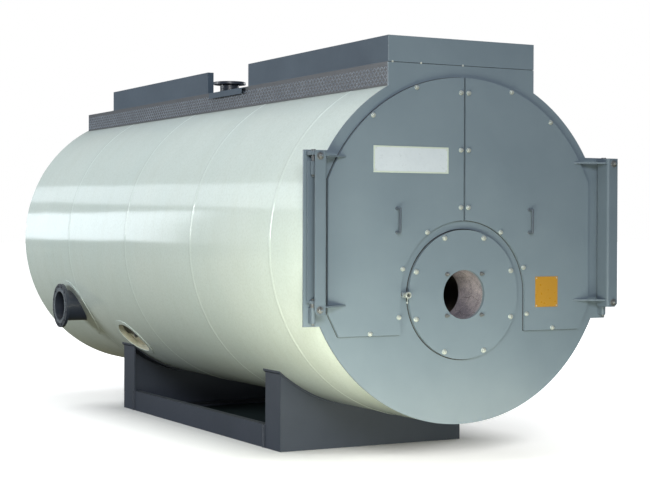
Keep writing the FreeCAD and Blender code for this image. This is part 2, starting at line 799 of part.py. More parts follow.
front_plate()
burner_front()
burner_studs()
furnace_tube()
sight_tube()
boiler_shell()
tube_plates()
insulation()
jacket_courses()
rear_end()
for side, sign in SIDES:
    door_leaf(side, sign)
    door_lining(side, sign)
    door_handle(side, sign)
    door_nameplate(side, sign)
    hinge_channel(side, sign)
hinge_lugs()
hinge_pins()
base()
deck()
parapet()
deck_step()
top_nozzle()
side_nozzle()
nozzle_collar()
hatch()

doc.recompute()
for item in doc.Objects:
    if "Invalid" in item.State or "Error" in item.State:
        raise RuntimeError(f"{item.Name} ({item.Label}) failed: {item.State}")
for item in nodes:
    if item.Shape.isNull() or not item.Shape.isValid() or not item.Shape.Solids:
        raise RuntimeError(f"{item.Label} has no sound solid")

os.makedirs("parts", exist_ok=True)
for item in nodes:
    item.Shape.exportStep(f"parts/{item.Label}.step")
print(len(nodes), "nodes")
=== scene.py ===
import math

import bmesh
import bpy
import numpy as np
from mathutils import Matrix, Vector


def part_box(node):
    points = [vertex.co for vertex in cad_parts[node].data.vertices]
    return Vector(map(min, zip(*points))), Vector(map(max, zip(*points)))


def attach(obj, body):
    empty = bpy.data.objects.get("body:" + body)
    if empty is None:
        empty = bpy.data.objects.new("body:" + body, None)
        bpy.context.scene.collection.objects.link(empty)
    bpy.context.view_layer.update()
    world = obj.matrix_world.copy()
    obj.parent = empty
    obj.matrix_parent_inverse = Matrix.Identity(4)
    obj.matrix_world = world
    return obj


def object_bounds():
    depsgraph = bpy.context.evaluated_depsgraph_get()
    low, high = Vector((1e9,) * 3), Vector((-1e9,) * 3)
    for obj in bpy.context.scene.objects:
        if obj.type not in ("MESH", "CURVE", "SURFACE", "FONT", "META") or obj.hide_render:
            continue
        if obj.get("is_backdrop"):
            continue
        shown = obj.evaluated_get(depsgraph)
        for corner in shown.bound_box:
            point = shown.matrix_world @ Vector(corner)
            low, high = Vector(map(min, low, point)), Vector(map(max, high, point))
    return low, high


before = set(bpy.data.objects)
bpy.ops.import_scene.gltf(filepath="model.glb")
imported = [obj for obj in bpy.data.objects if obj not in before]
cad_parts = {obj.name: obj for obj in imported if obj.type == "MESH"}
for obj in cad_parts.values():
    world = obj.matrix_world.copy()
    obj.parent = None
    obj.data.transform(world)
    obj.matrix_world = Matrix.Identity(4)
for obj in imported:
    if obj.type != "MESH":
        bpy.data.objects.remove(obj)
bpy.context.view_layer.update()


# ---- The base ----
# Two welded plate saddles on a flat foot, tied by two low side rails. Heavy plate, sprayed
# with the front's grey-blue paint, its colour made darker as painted shade, and left plain.

class Wire:
    """What comes out of one socket. Sums on it add Math nodes, so a pattern reads as a formula."""

    def __init__(self, finish, socket):
        self.finish = finish
        self.socket = socket

    def sum(self, operation, *values):
        return self.finish.node("ShaderNodeMath", {"operation": operation}, dict(enumerate(values)))

    def __add__(self, other):
        return self.sum("ADD", self, other)

    def __radd__(self, other):
        return self.sum("ADD", other, self)

    def __sub__(self, other):
        return self.sum("SUBTRACT", self, other)

    def __rsub__(self, other):
        return self.sum("SUBTRACT", other, self)

    def __mul__(self, other):
        return self.sum("MULTIPLY", self, other)

    def __rmul__(self, other):
        return self.sum("MULTIPLY", other, self)

    def __truediv__(self, other):
        return self.sum("DIVIDE", self, other)

    def __pow__(self, other):
        return self.sum("POWER", self, other)

    def __mod__(self, other):
        return self.sum("FLOORED_MODULO", self, other)

    def __abs__(self):
        return self.sum("ABSOLUTE", self)

    def between(self, low, high):
        """0 below low, 1 above high, and an even ramp from one to the other."""
        return self.finish.node("ShaderNodeMapRange", {"clamp": True},
                                {"Value": self, "From Min": low, "From Max": high})


class Finish:
    """One paint, metal or other finish. node() makes any node of it."""

    def __init__(self, name):
        self.material = bpy.data.materials.new(name)
        self.material.use_nodes = True
        self.tree = self.material.node_tree
        self.tree.nodes.clear()

    def node(self, kind, settings, sockets, out=0):
        made = self.tree.nodes.new(kind)
        for name, value in settings.items():
            if name == "stops":
                self.stops(made.color_ramp, value)
            else:
                setattr(made, name, value)
        for name, value in sockets.items():
            if isinstance(value, Wire):
                self.tree.links.new(value.socket, made.inputs[name])
            else:
                made.inputs[name].default_value = value
        return Wire(self, made.outputs[out]) if made.outputs else None

    def stops(self, ramp, stops):
        for number, (at, colour) in enumerate(stops):
            stop = ramp.elements[number] if number < 2 else ramp.elements.new(at)
            stop.position = at
            stop.color = colour

    def here(self):
        """The point on the object, in metres."""
        return self.node("ShaderNodeTexCoord", {}, {}, "Object")

    def along(self, axis):
        return self.node("ShaderNodeSeparateXYZ", {}, {"Vector": self.here()}, axis)

    def stretched(self, x, y, z):
        return self.node("ShaderNodeVectorMath", {"operation": "MULTIPLY"}, {0: self.here(), 1: (x, y, z)})

    def cloud(self, scale, detail=3.0, rough=0.55, at=None):
        """Soft noise of about 0 to 1, with scale blotches to the metre."""
        return self.node("ShaderNodeTexNoise", {}, {"Vector": at or self.here(), "Scale": scale,
                                                    "Detail": detail, "Roughness": rough})

    def mix(self, share, first, second):
        return self.node("ShaderNodeMix", {"data_type": "RGBA", "clamp_factor": True},
                         {0: share, 6: first, 7: second}, 2)

    def raised(self, height, depth, under=None):
        """A bump normal: height of 1 stands depth metres proud."""
        sockets = {"Height": height, "Distance": depth, "Strength": 1.0}
        if under is not None:
            sockets["Normal"] = under
        return self.node("ShaderNodeBump", {}, sockets)

    def done(self, sockets):
        coat = self.node("ShaderNodeBsdfPrincipled", {}, sockets)
        self.node("ShaderNodeOutputMaterial", {}, {"Surface": coat})
        return self.material


def srgb(red, green, blue):
    """A colour named by its everyday 0 to 255 numbers, as the shader wants it."""
    parts = np.array((red, green, blue)) / 255
    return (*(((parts + 0.055) / 1.055) ** 2.4).tolist(), 1.0)


def paint(name, colour, pale, dark, rough, dust=0.0, gloss=0.5):
    """Sprayed paint: broad clouds of tone, fine orange peel, and dust on what faces up."""
    finish = Finish(name)
    tone = finish.cloud(1.7, 4.0, 0.6)
    fine = finish.cloud(38.0, 3.0, 0.6)
    shade = finish.mix(tone.between(0.35, 0.68), dark, pale)
    shade = finish.mix(0.55, shade, colour)
    up = finish.node("ShaderNodeSeparateXYZ", {},
                     {"Vector": finish.node("ShaderNodeNewGeometry", {}, {}, "Normal")}, "Z")
    film = up.between(0.4, 0.95) * fine.between(0.3, 0.7) * dust
    shade = finish.mix(film, shade, srgb(178, 176, 168))
    peel_height = finish.cloud(420.0, 2.0, 0.5)
    return finish.done({"Base Color": shade, "Roughness": rough + 0.12 * (fine - 0.5) + 0.2 * film,
                        "Specular IOR Level": gloss, "Normal": finish.raised(peel_height, 0.00012)})


def coat_nodes(material, *names):
    """Give CAD nodes this material and nothing else."""
    for name in names:
        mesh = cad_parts[name].data
        mesh.materials.clear()
        mesh.materials.append(material)


# The base's paint is the front's made darker: painted shade.
base_paint = paint("base_paint", srgb(58, 65, 78), srgb(64, 71, 84), srgb(50, 57, 69), 0.5, 0.15, 0.3)
coat_nodes(base_paint, "front_saddle", "rear_saddle", "side_rails")

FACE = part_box("front_plate")[0].y
COURSE_LOW, COURSE_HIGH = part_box("jacket_course_1")
AXIS = (COURSE_LOW.z + COURSE_HIGH.z) / 2
X, Y, Z = np.eye(3)


def spot(x, y, z):
    """A point by its distance right of the barrel's axis, behind the front plate's face, and
    above the axis."""
    return np.array((x, y + FACE, z + AXIS))


def lay(name, patches, material, body, crease=38):
    """Make a piece. A patch is a grid of points, copies by rows by columns by xyz: each four
    neighbours make a face, and points that meet are merged, which closes seams and poles."""
    points, faces, start = [], [], 0
    for patch in patches:
        patch = np.asarray(patch, float)
        patch = patch.reshape(-1, *patch.shape[-3:])
        number = np.arange(patch[..., 0].size).reshape(patch.shape[:3]) + start
        corners = (number[:, :-1, :-1], number[:, :-1, 1:], number[:, 1:, 1:], number[:, 1:, :-1])
        points.append(patch.reshape(-1, 3))
        faces.append(np.stack(corners, -1).reshape(-1, 4))
        start += number.size
    mesh = bpy.data.meshes.new(name)
    mesh.from_pydata(np.concatenate(points), [], np.concatenate(faces))
    net = bmesh.new()
    net.from_mesh(mesh)
    bmesh.ops.remove_doubles(net, verts=net.verts, dist=2e-6)
    bmesh.ops.recalc_face_normals(net, faces=net.faces)
    net.to_mesh(mesh)
    net.free()
    mesh.shade_smooth()
    mesh.set_sharp_from_angle(angle=math.radians(crease))
    mesh.materials.append(material)
    piece = bpy.data.objects.new(name, mesh)
    bpy.context.collection.objects.link(piece)
    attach(piece, body)
    return piece


def round_section(across, up=None, sides=12):
    """An oval ring of points: cosine times across one way and sine times up the other."""
    turn = np.linspace(0, 2 * np.pi, sides + 1)
    return np.stack([across * np.cos(turn), (up or across) * np.sin(turn)], -1)


def carried(section, path, side, swell=None, closed=False):
    """A section carried along a path. At each path point the section's first number runs along
    side, squared to the path, and its second along path x side; swell scales it from point to point."""
    path = np.asarray(path, float)
    if closed:
        ahead = np.roll(path[:-1], -1, 0) - np.roll(path[:-1], 1, 0)
        ahead = np.vstack([ahead, ahead[:1]])
    else:
        ahead = np.gradient(path, axis=0)
    ahead /= np.linalg.norm(ahead, axis=1, keepdims=True)
    side = np.broadcast_to(side, path.shape)
    side = side - (side * ahead).sum(1, keepdims=True) * ahead
    side = side / np.linalg.norm(side, axis=1, keepdims=True)
    up = np.cross(ahead, side)
    size = np.ones(len(path)) if swell is None else swell
    grid = (path[:, None] + size[:, None, None] * (section[None, :, :1] * side[:, None]
                                                   + section[None, :, 1:] * up[:, None]))
    if closed:
        return grid
    ends = [np.broadcast_to(path[n], grid[0].shape)[None] for n in (0, -1)]
    return np.concatenate([ends[0], grid, ends[1]])


def weld(start, end, leg, normal):
    """A weld bead: a round section carried in a straight line, its radius swelling and falling
    with each ripple as one plus a tenth of the sine of the length run."""
    start, end = np.asarray(start, float), np.asarray(end, float)
    length = np.linalg.norm(end - start)
    run = np.linspace(0, 1, max(int(length / (0.45 * leg)), 4))
    path = start + run[:, None] * (end - start)
    ripple = 1 + 0.10 * np.sin(run * length / leg * 5.5) + 0.05 * np.sin(run * length / leg * 1.7)
    return carried(round_section(leg, sides=8), path, normal, ripple)


def weld_arc(centre, radius, first, last, leg, u, v):
    """A rippled weld bead round an arc: centre + radius (u cosine + v sine), from first to last."""
    turn = np.linspace(first, last, max(int(abs(last - first) * radius / (0.45 * leg)), 8))
    path = np.asarray(centre) + radius * (np.cos(turn)[:, None] * u + np.sin(turn)[:, None] * v)
    ripple = 1 + 0.10 * np.sin(turn * radius / leg * 5.5) + 0.05 * np.sin(turn * radius / leg * 1.7)
    return carried(round_section(leg, sides=8), path, np.cross(u, v), ripple)


welds = []
rail_low, rail_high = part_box("side_rails")
for saddle in ("front_saddle", "rear_saddle"):
    low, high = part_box(saddle)
    for side in (-1, 1):
        for y in (low.y, high.y):
            if rail_low.y - 0.01 < y < rail_high.y + 0.01:
                welds.append(weld((side * high.x, y, 0.004), (side * high.x, y, rail_high.z), 0.005, Y))
lay("base_welds", welds, base_paint, "boiler")


# ---- The barrel inside the jacket ----
# Rolled plate shell, tube plates and furnace tube, welded and left in grey shop primer. Fire
# tubes are rolled into the front tube plate and seal-welded; smoke blackens their bores, and a dark disc just
# inside each mouth is painted shade for the depth of the tube.

def primed(name, colour, rust):
    """Flat shop primer with mill marks and a few rust specks."""
    finish = Finish(name)
    marks = finish.cloud(6.0, 5.0, 0.65)
    specks = finish.cloud(90.0, 4.0, 0.7)
    shade = finish.mix(marks.between(0.4, 0.7) * 0.65, colour, rust)
    shade = finish.mix(specks.between(0.66, 0.74), shade, srgb(104, 62, 40))
    return finish.done({"Base Color": shade, "Roughness": 0.62 + 0.2 * (marks - 0.5),
                        "Normal": finish.raised(specks, 0.0002)})


plate_primer = primed("plate_primer", srgb(136, 128, 120), srgb(112, 96, 86))
coat_nodes(plate_primer, "boiler_shell", "front_tube_plate", "rear_tube_plate", "furnace_tube")

TUBE_PITCH = 0.096
TUBE_OUTSIDE = 0.0318


def lathe(profile, sides=24):
    """A profile of radius and height turned about the z axis."""
    profile = np.asarray(profile, float)
    turn = np.linspace(0, 2 * np.pi, sides + 1)
    radius, height = profile[:, :1], profile[:, 1:]
    return np.stack([radius * np.cos(turn), radius * np.sin(turn), height + 0 * turn], -1)


def copies(shape, places, outward, spin=0.0):
    """Copies of a shape that was made about the z axis: each is turned about its axis by its
    spin, has that axis along outward, and stands at its place."""
    places = np.atleast_2d(places)
    count = len(places)
    axis = np.broadcast_to(outward, (count, 3)).astype(float)
    axis = axis / np.linalg.norm(axis, axis=1, keepdims=True)
    guide = np.where(np.abs(axis[:, 2:]) > 0.9, X, Z)
    across = np.cross(guide, axis)
    across /= np.linalg.norm(across, axis=1, keepdims=True)
    up = np.cross(axis, across)
    spin = np.broadcast_to(spin, count)[:, None]
    first = np.cos(spin) * across + np.sin(spin) * up
    second = -np.sin(spin) * across + np.cos(spin) * up
    frames = np.stack([first, second, axis], -1)
    return np.einsum("nij,rcj->nrci", frames, shape) + places[:, None, None]


plate_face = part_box("front_tube_plate")[0].y
burner_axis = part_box("burner_plate")
BURNER_Z = (burner_axis[0].z + burner_axis[1].z) / 2
furnace_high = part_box("furnace_tube")[1]
columns, rows = np.meshgrid((np.arange(-11, 11) + 0.5) * TUBE_PITCH, np.arange(-12, 12) * TUBE_PITCH + AXIS)
clear_furnace = np.hypot(columns, rows - BURNER_Z) > furnace_high.x + 0.075
inside_shell = np.hypot(columns, rows - AXIS) < 1.0
above_sill = rows > AXIS - 0.56
chosen = clear_furnace & inside_shell & above_sill
tubes = np.stack([columns[chosen], np.full(chosen.sum(), plate_face), rows[chosen]], -1)
tube_end = lathe([(0.0, -0.002), (TUBE_OUTSIDE + 0.007, -0.002), (TUBE_OUTSIDE + 0.0055, 0.003),
                  (TUBE_OUTSIDE, 0.007), (TUBE_OUTSIDE - 0.0005, 0.010), (TUBE_OUTSIDE - 0.0028, 0.010),
                  (TUBE_OUTSIDE - 0.0035, 0.008), (TUBE_OUTSIDE - 0.0035, 0.002), (0.0, 0.002)], 20)
lay("tube_ends", [copies(tube_end, tubes, -Y)], plate_primer, "boiler")
# A smoke-black material, used for the tube bores and for black ropes and rings that are painted shade in
# gaps.
soot_and_shade = primed("soot_and_shade", srgb(20, 19, 18), srgb(34, 30, 27))
# Each bore is closed by a black disc just inside the mouth: painted shade for the dark inside of the tube.
BORE_SHADE = TUBE_OUTSIDE - 0.0037
bore_shade = lathe([(0.0, 0.0012), (BORE_SHADE, 0.0012), (BORE_SHADE, 0.003), (0.0, 0.003)], 20)
lay("tube_bores", [copies(bore_shade, tubes, -Y)], soot_and_shade, "boiler")
furnace_seam = weld_arc((0, plate_face - 0.002, BURNER_Z), furnace_high.x + 0.003, 0, 2 * np.pi, 0.006, X, Z)
lay("furnace_weld", [furnace_seam], plate_primer, "boiler")


# ---- Insulation ----
# Staves of mineral wool round the shell, under the jacket, seen only at the openings.

def wool():
    finish = Finish("mineral_wool")
    strands = finish.cloud(60.0, 6.0, 0.75, finish.stretched(1.0, 0.15, 1.0))
    shade = finish.mix(strands.between(0.3, 0.7), srgb(120, 104, 62), srgb(186, 168, 112))
    return finish.done({"Base Color": shade, "Roughness": 0.95, "Normal": finish.raised(strands, 0.004)})


coat_nodes(wool(), "insulation")


# ---- The jacket ----
# Five courses of thin rolled sheet with a swaged bead at each joint, sprayed in a glossy
# cream with a green cast. The sheet is never quite flat, so reflections waver in it.

def jacket_paint():
    finish = Finish("jacket_paint")
    tone = finish.cloud(0.9, 4.0, 0.55)
    streak = finish.cloud(7.0, 4.0, 0.6, finish.stretched(0.35, 1.0, 0.35))
    grain = finish.cloud(60.0, 3.0, 0.6)
    shade = finish.mix(tone.between(0.3, 0.7), srgb(222, 237, 234), srgb(229, 241, 237))
    shade = finish.mix(streak.between(0.45, 0.8) * 0.3, shade, srgb(212, 224, 216))
    shade = finish.mix(grain.between(0.42, 0.72) * 0.35, shade, srgb(200, 213, 206))
    waves = finish.cloud(1.6, 2.0, 0.4, finish.stretched(1.0, 0.5, 1.0))
    peel = finish.cloud(300.0, 2.0, 0.5)
    rough = 0.10 + 0.08 * (tone - 0.5) + 0.08 * grain.between(0.5, 0.8)
    return finish.done({"Base Color": shade, "Roughness": rough, "IOR": 1.5,
                        "Normal": finish.raised(peel, 0.00004, finish.raised(waves, 0.004))})


jacket_sheet = jacket_paint()
coat_nodes(jacket_sheet, "jacket_course_1", "jacket_course_2", "jacket_course_3", "jacket_course_4",
           "jacket_course_5", "side_nozzle_collar")

SEAM_BEAD = 0.026
CAD_BEAD_RISE = 0.0012
BEAD_HALF = 0.019
BEAD_RISE = 0.0017
DECK_EDGE = 0.51
SKIN_RADIUS = (COURSE_HIGH.x - COURSE_LOW.x) / 2 - CAD_BEAD_RISE


def seam_bead(seam, first, last):
    """A rolled bead round the barrel: its rise is the full height times one less the fourth
    power of the run across it, turned about the barrel's axis from first to last."""
    run = np.linspace(-1, 1, 15)
    rise = SKIN_RADIUS + BEAD_RISE * (1 - run ** 4)
    turn = np.linspace(first, last, 361)[:, None]
    y = seam - SEAM_BEAD / 2 + BEAD_HALF * run + 0 * turn
    return np.stack([rise * np.sin(turn), y, AXIS + rise * np.cos(turn)], -1)


for number in range(1, 5):
    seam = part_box(f"jacket_course_{number}")[1].y
    bead = seam_bead(seam, DECK_EDGE, 2 * np.pi - DECK_EDGE)
    lay(f"seam_bead_{number}", [bead], jacket_sheet, "boiler", 60)


# ---- The front plate ----
# One big flame-cut plate with a flat tab on top, sprayed grey-blue. It carries the doors,
# the burner plate and the hinges. Light tack welds show where the front parapet sits on it.

front_paint = paint("front_paint", srgb(104, 119, 132), srgb(110, 125, 138), srgb(96, 111, 125), 0.40, 0.15)
coat_nodes(front_paint, "front_plate", "parapet_front", "rear_cover", "flue_collar")


def metal(name, colour, worn, rough):
    """Bare or plated steel: brushed tone, dull spots, and a faint grain."""
    finish = Finish(name)
    brushed = finish.cloud(160.0, 3.0, 0.6)
    spots = finish.cloud(45.0, 4.0, 0.65)
    shade = finish.mix(brushed.between(0.3, 0.75) * 0.6, colour, worn)
    shade = finish.mix(spots.between(0.62, 0.8) * 0.5, shade, srgb(120, 112, 100))
    return finish.done({"Base Color": shade, "Metallic": 0.55, "Roughness": rough + 0.2 * (brushed - 0.5),
                        "Normal": finish.raised(brushed, 0.00005)})


bright_steel = metal("bright_steel", srgb(226, 230, 226), srgb(176, 182, 180), 0.36)

tack = lathe([(0.0, -0.001), (0.0075, -0.001), (0.0068, 0.0007), (0.0045, 0.0014), (0.0, 0.0017)], 14)
seam_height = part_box("parapet_front")[0].z - AXIS
tacks = np.array([spot(x, 0, seam_height) for x in (-0.55, -0.33, 0.0)])
lay("parapet_tacks", [copies(tack, tacks, -Y)], bright_steel, "boiler")


# ---- The rear cover ----
# A flat disc inside the last course, held by a ring of screws, with a short flue collar.

def hexagon(across, tall, dish=0.92, sides=24):
    """A hexagon head: at each turn the rim stands at half the width over the cosine of the
    turn from the nearest flat, and its top is cut down by a cone past the round of the crown."""
    turn = np.linspace(0, 2 * np.pi, sides + 1)
    flat = across / 2
    rim = flat / np.cos((turn + np.pi / 6) % (np.pi / 3) - np.pi / 6)
    crown = flat * dish
    shoulder = tall - (rim - crown) * math.tan(math.radians(30))
    radius = np.stack([0 * turn, rim, rim, crown + 0 * turn, 0 * turn])
    height = np.stack([0 * turn, 0 * turn, shoulder, tall + 0 * turn, tall + 0 * turn])
    return np.stack([radius * np.cos(turn), radius * np.sin(turn), height], -1)


def washer(radius, thick):
    return lathe([(0.0, 0.0), (radius, 0.0), (radius, thick * 0.75), (radius - thick * 0.25, thick),
                  (0.0, thick)])


def lifted(shape, height):
    return shape + np.array((0, 0, height))


def screws(places, outward, across=0.022, tall=0.011, disc=0.0165, thick=0.0025, seed=1):
    """Hexagon screws with washers, each turned its own way."""
    places = np.atleast_2d(places)
    spin = np.random.default_rng(seed).uniform(0, np.pi / 3, len(places))
    return [copies(washer(disc, thick), places, outward),
            copies(lifted(hexagon(across, tall), thick), places, outward, spin)]


zinc = metal("zinc_plate", srgb(186, 194, 194), srgb(150, 158, 158), 0.42)


def ring_of(centre, radius, count, u, v, offset=0.5):
    """Points round a circle: centre + radius (u cosine + v sine)."""
    turn = (np.arange(count) + offset) * 2 * np.pi / count
    return np.asarray(centre) + radius * (np.cos(turn)[:, None] * u + np.sin(turn)[:, None] * v)


rear_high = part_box("rear_cover")[1]
flue_low, flue_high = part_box("flue_collar")
flue_z = (flue_low.z + flue_high.z) / 2
REAR_SCREW_INSET = 0.045
REAR_SCREWS = 28
rear_screws = ring_of((0, rear_high.y, AXIS), rear_high.x - REAR_SCREW_INSET, REAR_SCREWS, X, Z)
lay("rear_screws", screws(rear_screws, Y, 0.017, 0.008, 0.0155, 0.002, 2), zinc, "boiler")
flue_weld = weld_arc((0, rear_high.y + 0.001, flue_z), 0.2265, 0, 2 * np.pi, 0.005, X, Z)
lay("flue_weld", [flue_weld], front_paint, "boiler")


# ---- The burner plate and throat ----
# A round steel plate held by eight screws, its hole lined with cast refractory. Four studs
# take the burner. A plated sight tube with a thumb screw stands at its left edge.

coat_nodes(front_paint, "burner_plate")
burner_face = burner_axis[0].y
burner_centre = np.array((0, burner_face, BURNER_Z))
BURNER_SCREW_CIRCLE = 0.41
burner_screws = ring_of(burner_centre, BURNER_SCREW_CIRCLE, 8, X, Z)
lay("burner_screws", screws(burner_screws, -Y, 0.024, 0.012, 0.0185, 0.003, 3), zinc, "boiler")


def castable(name):
    """Cast refractory: coarse pale grains in a grey-mauve paste, with hairline cracks."""
    finish = Finish(name)
    grains = finish.node("ShaderNodeTexVoronoi", {}, {"Vector": finish.here(), "Scale": 90.0})
    cracks = finish.node("ShaderNodeTexVoronoi", {"feature": "DISTANCE_TO_EDGE"},
                         {"Vector": finish.here(), "Scale": 7.0})
    patches = finish.cloud(14.0, 5.0, 0.65)
    shade = finish.mix(patches.between(0.35, 0.7), srgb(112, 108, 120), srgb(158, 152, 160))
    shade = finish.mix(grains.between(0.1, 0.45), srgb(166, 160, 162), shade)
    shade = finish.mix(cracks.between(0.0, 0.012), srgb(70, 66, 70), shade)
    height = patches + 0.4 * grains + 0.3 * cracks.between(0.0, 0.012)
    return finish.done({"Base Color": shade, "Roughness": 0.9, "Normal": finish.raised(height, 0.002)})


refractory = castable("refractory")
coat_nodes(refractory, "burner_throat", "left_door_lining", "right_door_lining")

stud_metal = metal("stud_steel", srgb(120, 124, 128), srgb(74, 76, 80), 0.4)
coat_nodes(stud_metal, "burner_studs", "hinge_pins")
stud_low, stud_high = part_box("burner_studs")
stud_length = burner_face - stud_low.y
STUD_RADIUS = 0.006
stud_offset = stud_high.x - STUD_RADIUS
stud_places = np.array([(x, burner_face, BURNER_Z + z) for x in (-stud_offset, stud_offset)
                        for z in (-stud_offset, stud_offset)])


def thread(radius, length, pitch, sides=16):
    """A screw thread as close rings: the radius rises and falls in a zigzag along the length."""
    stations = np.arange(0, length + pitch / 4, pitch / 2)
    profile = np.stack([radius - 0.0009 * (np.arange(len(stations)) % 2), stations], -1)
    return lathe(np.vstack([(0, 0), profile, (radius - 0.002, length + 0.001), (0, length + 0.001)]), sides)


stud_parts = [copies(thread(0.0068, stud_length - 0.002, 0.0022), stud_places, -Y)]
stud_parts += screws(stud_places, -Y, 0.020, 0.010, 0.0145, 0.0025, 4)
lay("burner_stud_threads", stud_parts, stud_metal, "boiler")

sight_low, sight_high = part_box("sight_tube")
coat_nodes(zinc, "sight_tube")
sight = np.array(((sight_low.x + sight_high.x) / 2, sight_low.y, (sight_low.z + sight_high.z) / 2))
sight_bore = 0.013
sight_ring = lathe([(sight_bore, 0.0008), (sight_bore, -0.012), (0.0185, -0.012), (0.022, -0.0105),
                    (0.022, -0.0012), (0.0205, 0.0008), (sight_bore, 0.0008)], 28)
thumb_head = lathe([(0, 0), (0.0062, 0), (0.0068, 0.001), (0.0068, 0.008), (0.0055, 0.009), (0, 0.009)], 16)
thumb_lean = (-0.18, 0, -1)
thumb = [copies(thread(0.003, 0.026, 0.0014, 12), [sight + (-0.004, 0.006, -0.020)], thumb_lean),
         copies(thumb_head, [sight + (-0.0086, 0.006, -0.0455)], thumb_lean)]
lay("sight_ring", [copies(sight_ring, [sight], -Y)] + thumb, zinc, "boiler")
sight_weld = weld_arc((sight[0], burner_face - 0.001, sight[2]), 0.0195, 0, 2 * np.pi, 0.003, X, Z)
lay("sight_weld", [sight_weld], front_paint, "boiler")


# ---- The smokebox doors ----
# Two flat steel leaves that meet at the middle, each lined with refractory, sealed by a
# woven rope, and held shut by washered screws round its edge.

def rope_finish():
    """Woven glass rope: two sets of slanting strands over each other, greyed by smoke."""
    finish = Finish("seal_rope")
    steps = finish.along("X") + finish.along("Z")
    cross = finish.along("X") - finish.along("Z")
    weave = abs((steps * 130.0) % 1.0 - 0.5) + abs((cross * 130.0) % 1.0 - 0.5)
    smoke = finish.cloud(5.0, 4.0, 0.6)
    shade = finish.mix(weave.between(0.1, 0.8), srgb(120, 114, 104), srgb(206, 200, 186))
    shade = finish.mix(smoke.between(0.45, 0.75) * 0.6, shade, srgb(84, 76, 66))
    return finish.done({"Base Color": shade, "Roughness": 0.92, "Normal": finish.raised(weave, 0.0015)})


seal_rope = rope_finish()


def seal_path(side):
    """The line of the rope on the back of a leaf: up the middle edge, over an arc at the top,
    down the outer edge to its cut corner, along the bottom, and back up and round the burner's
    ring. Distances are from the barrel's axis."""
    out, ring_out, drop = 1.088, 0.526, 0.328
    middle, outer, foot = 0.035, 1.003, -0.556
    start = math.acos(middle / out)
    top = np.linspace(start, math.radians(28), 40)
    arc = np.stack([out * np.cos(top), out * np.sin(top)], -1)
    edge = np.array([(outer, 0.44), (outer, -0.42), (0.93, foot), (0.528, foot)])
    ring = np.linspace(0.0, math.acos(middle / ring_out), 30)
    inner = np.stack([ring_out * np.cos(ring), -drop + ring_out * np.sin(ring)], -1)
    corners = np.vstack([arc, edge, inner, arc[:1]])
    run = np.concatenate([[0], np.cumsum(np.linalg.norm(np.diff(corners, axis=0), axis=1))])
    even = np.linspace(0, run[-1], 420)
    flat = np.stack([np.interp(even, run, corners[:, n]) for n in (0, 1)], -1)
    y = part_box("left_door_leaf")[1].y + 0.0024
    return np.stack([side * flat[:, 0], np.full(len(flat), y), flat[:, 1] + AXIS], -1)


def gap_shadow_rope(side):
    """A black rope that just shows round a leaf, standing for the shadow in the gap between leaf and front
    plate: painted shade. It runs up its middle edge, over the arc, down the outer edge, in along the bottom,
    straight up, and back round the burner's ring."""
    big, small, drop = 1.125, 0.4975, AXIS - BURNER_Z
    middle, outer, foot = 0.007, 1.040, -0.585
    first, last = math.acos(middle / big), math.acos(outer / big)
    arc = big * np.stack([np.cos(np.linspace(first, last, 48)), np.sin(np.linspace(first, last, 48))], -1)
    edge = np.array([(outer, -0.430), (0.960, foot), (small, foot)])
    first, last = 0.0, math.acos(middle / small)
    ring = small * np.stack([np.cos(np.linspace(first, last, 40)), np.sin(np.linspace(first, last, 40))], -1)
    corners = np.vstack([arc, edge, ring - (0, drop), arc[:1]])
    run = np.concatenate([[0], np.cumsum(np.linalg.norm(np.diff(corners, axis=0), axis=1))])
    even = np.unique(np.concatenate([run, np.linspace(0, run[-1], 400)]))
    flat = np.stack([np.interp(even, run, corners[:, n]) for n in (0, 1)], -1)
    path = np.stack([side * flat[:, 0], np.full(len(flat), FACE - 0.0035), flat[:, 1] + AXIS], -1)
    return carried(round_section(0.0025, 0.003, 8), path, Y, closed=True)


for side, name in ((-1, "left"), (1, "right")):
    door = f"{name}_door"
    coat_nodes(front_paint, f"{name}_door_leaf")
    leaf_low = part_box(f"{name}_door_leaf")[0]
    face = leaf_low.y - FACE
    marks = [(0.030, 1.024), (0.030, 0.640), (0.030, 0.256), (0.380, 1.044), (0.710, 0.850),
             (0.294, 0.090), (0.484, -0.151), (0.512, -0.469), (0.730, -0.570)]
    places = np.array([spot(side * x, face, z) for x, z in marks])
    heads = screws(places, -Y, 0.022, 0.012, 0.0165, 0.003, 5 + side)
    lay(f"{name}_door_screws", heads, zinc, door)
    rope = carried(round_section(0.0022, 0.0075, 10), seal_path(side), Y, closed=True)
    lay(f"{name}_door_seal", [rope], seal_rope, door)
    # A black rope laid round each leaf in the gap: painted shade for the gap's shadow.
    lay(f"{name}_door_gap_shadow", [gap_shadow_rope(side)], soot_and_shade, door)
# A black ring round the burner plate's foot: painted shade for the shadow in the gap.
GAP_SHADOW_IN, GAP_SHADOW_OUT = 0.4340, 0.4410
burner_gap_ring = lathe([(GAP_SHADOW_IN, -0.001), (GAP_SHADOW_IN, 0.0012), ((GAP_SHADOW_IN + GAP_SHADOW_OUT) / 2, 0.0024),
                (GAP_SHADOW_OUT, 0.0012), (GAP_SHADOW_OUT, -0.001), (GAP_SHADOW_IN, -0.001)], 120)
lay("burner_gap_shadow", [copies(burner_gap_ring, [(0, FACE, BURNER_Z)], -Y)], soot_and_shade, "boiler")


# ---- Door handles ----
# A bent round bar, welded to the leaf through two small collars.

